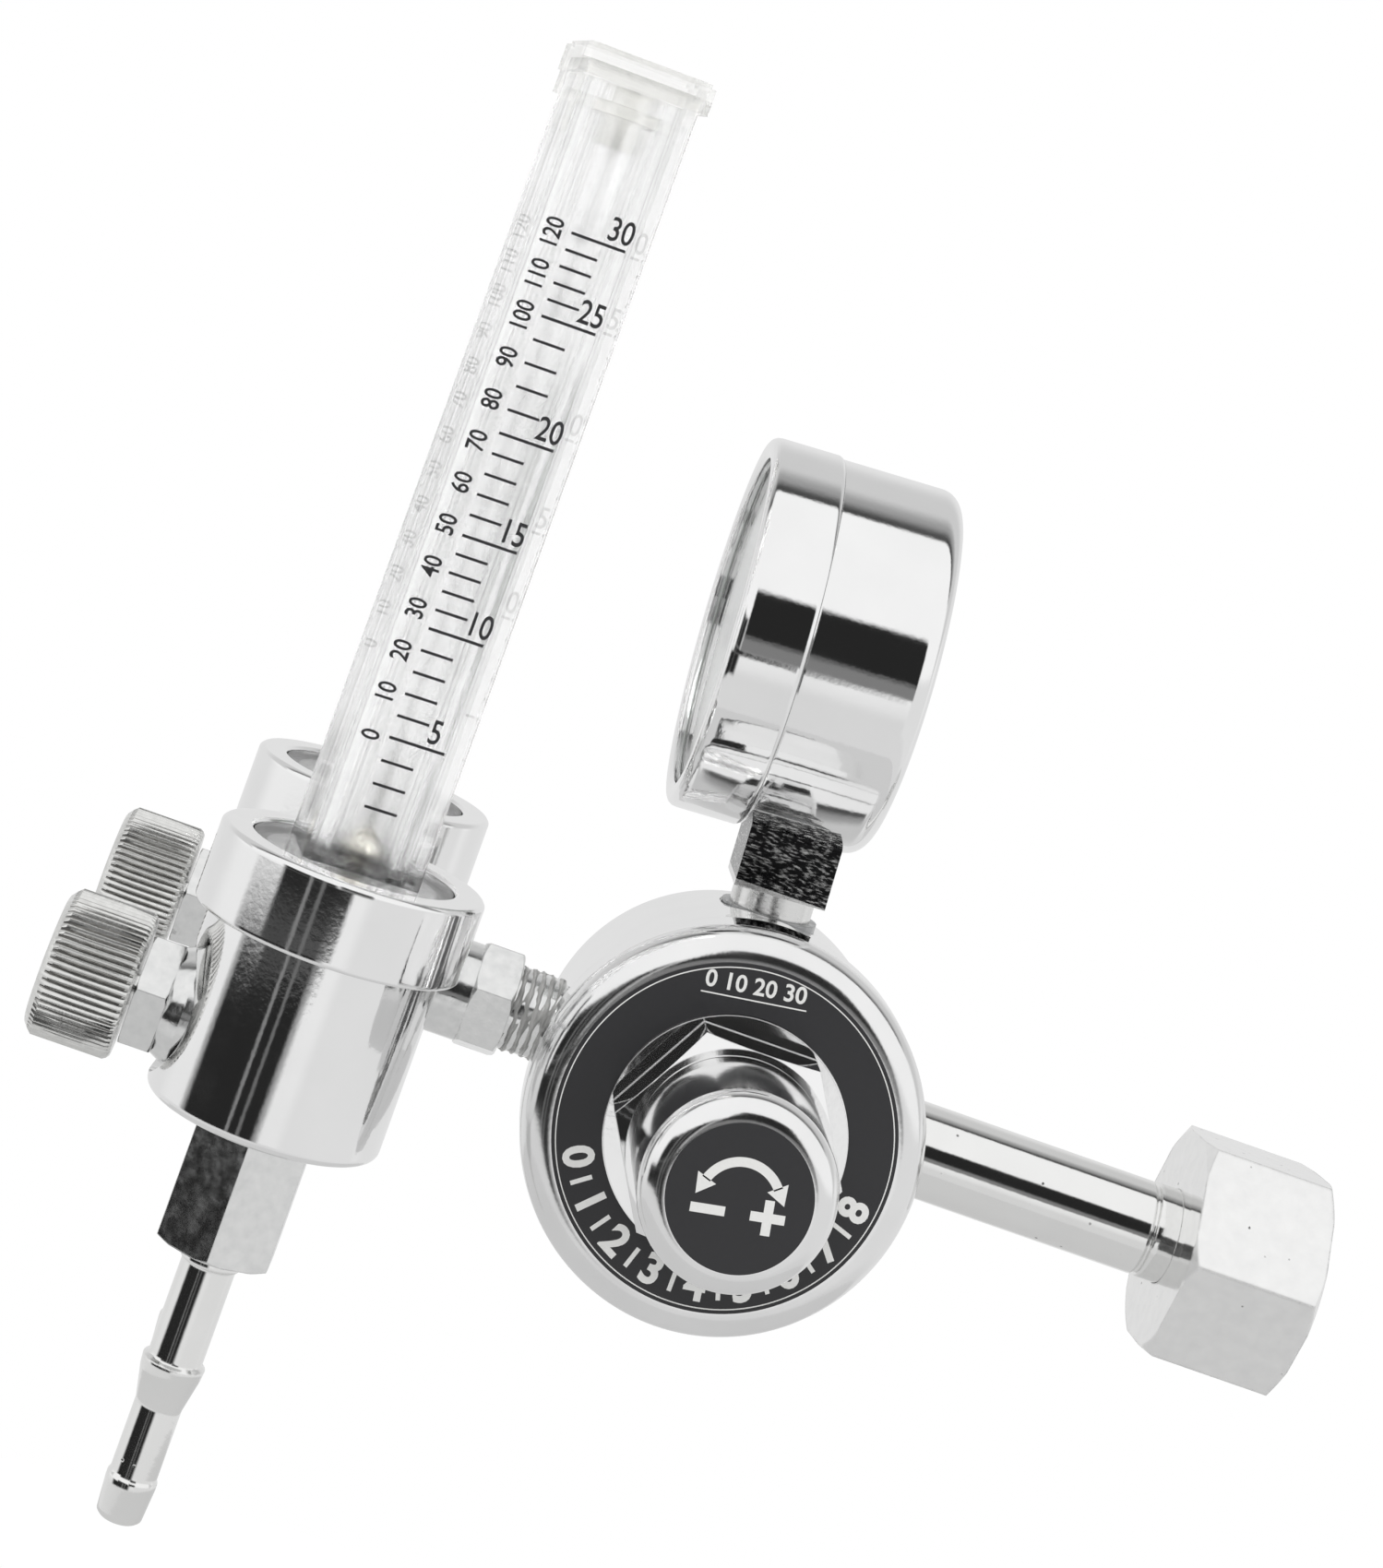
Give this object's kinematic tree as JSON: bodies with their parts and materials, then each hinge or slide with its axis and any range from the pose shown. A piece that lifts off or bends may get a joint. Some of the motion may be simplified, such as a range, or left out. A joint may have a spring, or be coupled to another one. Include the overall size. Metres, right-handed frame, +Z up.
{
  "type": "gas regulator with flowmeters",
  "caption": "Gas cylinder pressure regulator with a side gauge, clear flowmeter tubes, needle valve knobs, hose tails and an inlet nut",
  "frame": {"origin": "centre of the free thread in the inlet nut", "axes": "+X out of the inlet nut along the inlet pipe, +Z up along the flowmeter tubes, the adjusting side faces -Y"},
  "size_m": [0.1818, 0.1123, 0.2039],
  "materials": {
    "chrome_plating": "polished chrome plating on brass",
    "satin_nickel": "satin nickel plating on brass",
    "brass": "bare turned brass",
    "black_rubber": "matt black rubber",
    "clear_acrylic": "clear polished acrylic",
    "clear_glass": "clear flat glass",
    "spring_steel": "drawn steel",
    "steel_ball": "ground steel ball",
    "white_plastic": "white plastic",
    "black_label": "black printed film",
    "white_enamel": "white printed dial plate",
    "black_paint": "black painted pointer",
    "tinned_washer": "soft copper washer with a grey tinned surface",
    "sintered_bronze": "porous sintered bronze"
  },
  "bodies": {
    "regulator": {"regulator_body": "chrome_plating", "bonnet": "chrome_plating", "hex_bush": "chrome_plating", "rear_plug": "chrome_plating", "gauge_case": "chrome_plating", "gauge_bezel": "chrome_plating", "inlet_pipe": "satin_nickel", "outlet_union": "satin_nickel", "manifold": "satin_nickel", "gauge_stem": "satin_nickel", "valve_seat": "brass", "bourdon_tube": "brass", "movement_frame": "brass", "bonnet_label": "black_label", "main_spring": "spring_steel", "poppet_spring": "spring_steel", "diaphragm": "black_rubber", "slip_ring": "white_plastic", "inlet_filter": "sintered_bronze", "inlet_gasket": "white_plastic", "gauge_lens": "clear_glass", "gauge_dial": "white_enamel", "dial_screws": "spring_steel", "gauge_washer": "tinned_washer", "front_housing": "chrome_plating", "front_collar": "chrome_plating", "front_cover_tube": "clear_acrylic", "front_tube_cap": "clear_acrylic", "front_metering_tube": "clear_acrylic", "front_top_stop": "white_plastic", "front_seal_rings": "black_rubber", "front_gland": "satin_nickel", "front_union_nut": "satin_nickel", "front_hose_tail": "satin_nickel", "rear_housing": "chrome_plating", "rear_collar": "chrome_plating", "rear_cover_tube": "clear_acrylic", "rear_tube_cap": "clear_acrylic", "rear_metering_tube": "clear_acrylic", "rear_top_stop": "white_plastic", "rear_seal_rings": "black_rubber", "rear_gland": "satin_nickel", "rear_union_nut": "satin_nickel", "rear_hose_tail": "satin_nickel"},
    "inlet_nut": {"inlet_nut": "satin_nickel"},
    "cover_cap": {"cover_cap": "chrome_plating"},
    "cap_label": {"cap_label": "black_label"},
    "spring_button": {"spring_button": "brass"},
    "adjusting_screw": {"adjusting_screw": "spring_steel"},
    "diaphragm_plate": {"diaphragm_plate": "brass"},
    "valve_poppet": {"valve_poppet": "brass"},
    "gauge_pointer": {"gauge_pointer": "black_paint"},
    "sector_gear": {"sector_gear": "brass"},
    "drive_link": {"drive_link": "brass"},
    "front_float_ball": {"front_float_ball": "steel_ball"},
    "front_needle": {"front_needle": "brass"},
    "front_knob": {"front_knob": "satin_nickel"},
    "rear_float_ball": {"rear_float_ball": "steel_ball"},
    "rear_needle": {"rear_needle": "brass"},
    "rear_knob": {"rear_knob": "satin_nickel"}
  },
  "joints": [
    {"name": "inlet_nut_spin", "type": "hinge", "parent": "regulator", "child": "inlet_nut", "pos_m": [0, 0, 0], "axis": [1, 0, 0], "continuous": true},
    {"name": "cover_cap_lift", "type": "slide", "parent": "regulator", "child": "cover_cap", "axis": [0, -1, 0], "range_m": [0, 0.012]},
    {"name": "cover_cap_turn", "type": "hinge", "parent": "cover_cap", "child": "cap_label", "pos_m": [-0.08499, -0.0612, 0], "axis": [0, -1, 0], "range_deg": [0, 2880]},
    {"name": "spring_button_push", "type": "slide", "parent": "regulator", "child": "spring_button", "axis": [0, 1, 0], "range_m": [-0.0015, 0.003], "deforming": ["main_spring"]},
    {"name": "adjusting_screw_turn", "type": "hinge", "parent": "spring_button", "child": "adjusting_screw", "pos_m": [-0.08499, -0.0365, 0], "axis": [0, 1, 0], "range_deg": [-360, 720]},
    {"name": "diaphragm_flex", "type": "slide", "parent": "regulator", "child": "diaphragm_plate", "axis": [0, -1, 0], "range_m": [0, 0.0006], "deforming": ["diaphragm"]},
    {"name": "poppet_travel", "type": "slide", "parent": "regulator", "child": "valve_poppet", "axis": [0, -1, 0], "range_m": [0, 0.0006], "deforming": ["poppet_spring"]},
    {"name": "sector_turn", "type": "hinge", "parent": "regulator", "child": "sector_gear", "pos_m": [-0.09255, 0, 0.04577], "axis": [0.9986, 0, 0.0523], "range_deg": [-38.58, 0], "deforming": ["bourdon_tube"]},
    {"name": "pointer_turn", "type": "hinge", "parent": "regulator", "child": "gauge_pointer", "pos_m": [-0.09842, 0, 0.06235], "axis": [0.9986, 0, 0.0523], "range_deg": [0, 270.06]},
    {"name": "drive_link_turn", "type": "hinge", "parent": "sector_gear", "child": "drive_link", "pos_m": [-0.09255, -0.007, 0.04577], "axis": [0.9986, 0, 0.0523], "range_deg": [0, 38.58]},
    {"name": "front_float_rise", "type": "slide", "parent": "regulator", "child": "front_float_ball", "axis": [0, 0, 1], "range_m": [0, 0.0957]},
    {"name": "front_needle_lift", "type": "slide", "parent": "regulator", "child": "front_needle", "axis": [-1, 0, 0], "range_m": [0, 0.00225]},
    {"name": "front_knob_turn", "type": "hinge", "parent": "front_needle", "child": "front_knob", "pos_m": [-0.17099, -0.0323, -0.007], "axis": [-1, 0, 0], "range_deg": [0, 1080]},
    {"name": "rear_float_rise", "type": "slide", "parent": "regulator", "child": "rear_float_ball", "axis": [0, 0, 1], "range_m": [0, 0.0957]},
    {"name": "rear_needle_lift", "type": "slide", "parent": "regulator", "child": "rear_needle", "axis": [-1, 0, 0], "range_m": [0, 0.00225]},
    {"name": "rear_knob_turn", "type": "hinge", "parent": "rear_needle", "child": "rear_knob", "pos_m": [-0.17099, 0.0323, -0.007], "axis": [-1, 0, 0], "range_deg": [0, 1080]}
  ],
  "couplings": [
    {"joint": "cover_cap_turn", "follows": "cover_cap_lift", "rad_per_m": 4188.8},
    {"joint": "adjusting_screw_turn", "follows": "spring_button_push", "rad_per_m": 4188.8},
    {"joint": "poppet_travel", "follows": "diaphragm_flex", "ratio": 1},
    {"joint": "pointer_turn", "follows": "sector_turn", "ratio": -7},
    {"joint": "drive_link_turn", "follows": "sector_turn", "ratio": -1},
    {"joint": "front_knob_turn", "follows": "front_needle_lift", "rad_per_m": 8377.6},
    {"joint": "rear_knob_turn", "follows": "rear_needle_lift", "rad_per_m": 8377.6}
  ]
}
